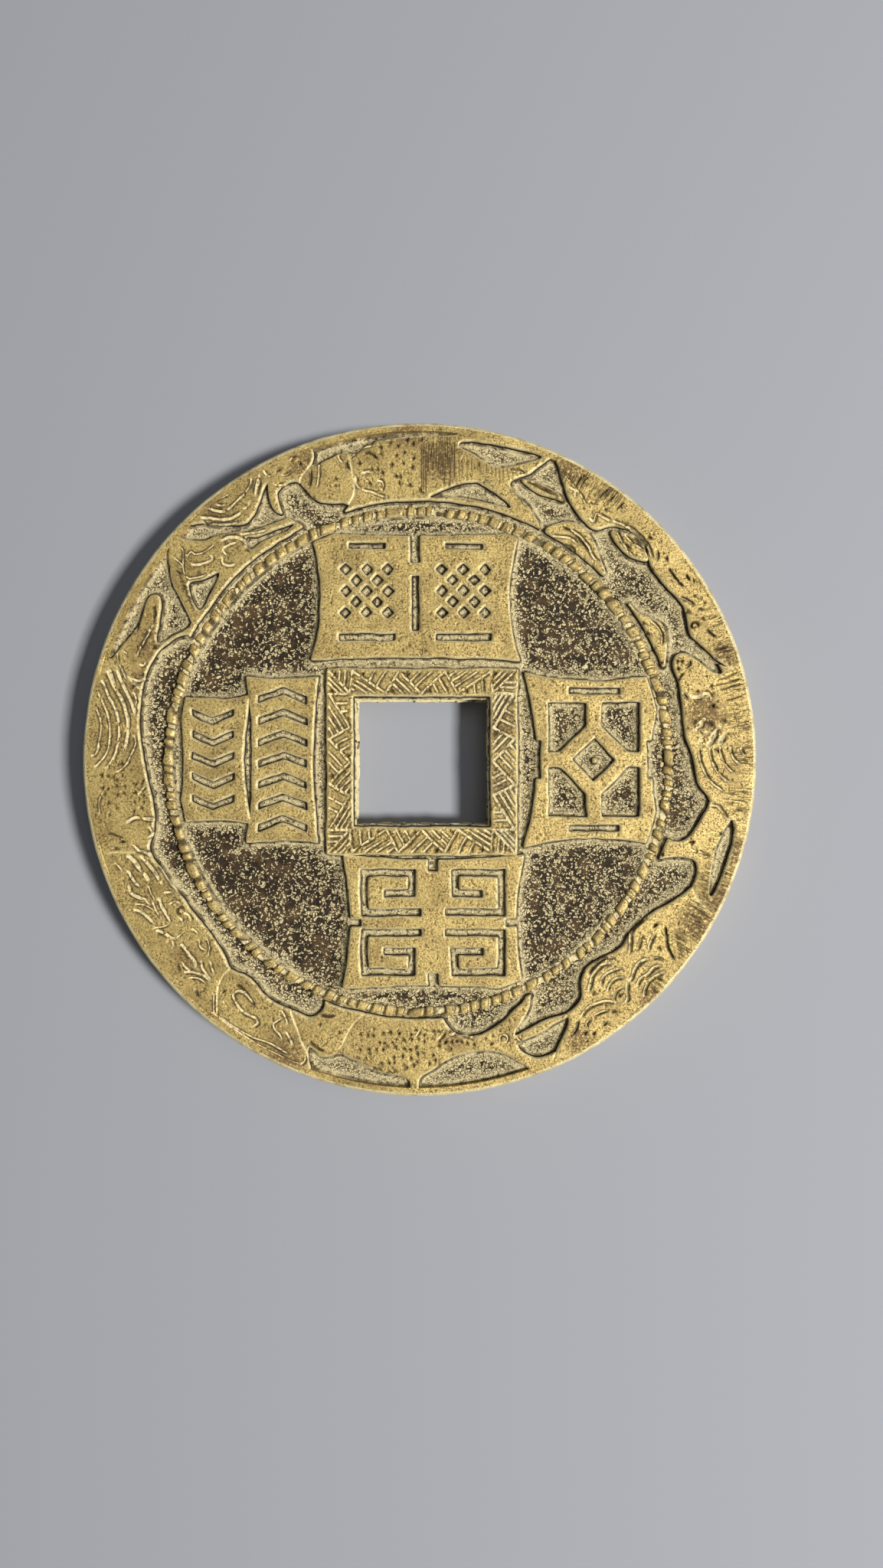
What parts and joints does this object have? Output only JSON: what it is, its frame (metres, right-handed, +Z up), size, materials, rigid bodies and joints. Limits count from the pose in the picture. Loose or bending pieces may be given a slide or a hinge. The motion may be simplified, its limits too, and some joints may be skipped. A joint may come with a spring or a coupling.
{
  "type": "cash-style coin",
  "caption": "Large cast brass coin charm with a square hole, carved rim, rope ring and lattice panels in relief; plain lattice replaces the lettering.",
  "frame": {"origin": "centre of the back face, on the surface that the coin lies on", "axes": "+Z up through the coin from back to front, +Y towards the top of the front design, +X towards its right"},
  "size_m": [0.06, 0.06, 0.004],
  "materials": {
    "field": "dark brown patina with pale deposits",
    "edge": "worn satin",
    "relief": "worn satin, pale deposits in the grooves",
    "panel": "worn satin, pale deposits in the slots",
    "collar": "engraved satin",
    "rope": "worn beads with pale deposits between"
  },
  "bodies": {
    "root": {"flan": "field", "edge_band": "edge", "rope_ring_back": "rope", "hole_collar_back": "collar", "rope_ring_front": "rope", "hole_collar_front": "collar", "panel_top": "panel", "panel_bottom": "panel", "panel_left": "panel", "panel_right": "panel", "panel_right_stud": "panel", "fish_top_head": "relief", "fish_top_body": "relief", "serrated_band": "relief", "leaf_top": "relief", "leaf_right": "relief", "shell_lobe": "relief", "bulge_lobe": "relief", "whorl_right": "relief", "fin_right": "relief", "waves_right": "relief", "fish_bottom_body": "relief", "fish_bottom_head": "relief", "lobe_lower": "relief", "waves_left": "relief", "whorl_left": "relief", "horn_crest": "relief", "cloud_head": "relief", "wave_hump": "relief", "rim_back_1": "relief", "rim_back_2": "relief", "rim_back_3": "relief", "rim_back_4": "relief", "rim_back_5": "relief", "rim_back_6": "relief", "rim_back_7": "relief", "rim_back_8": "relief"}
  },
  "joints": []
}
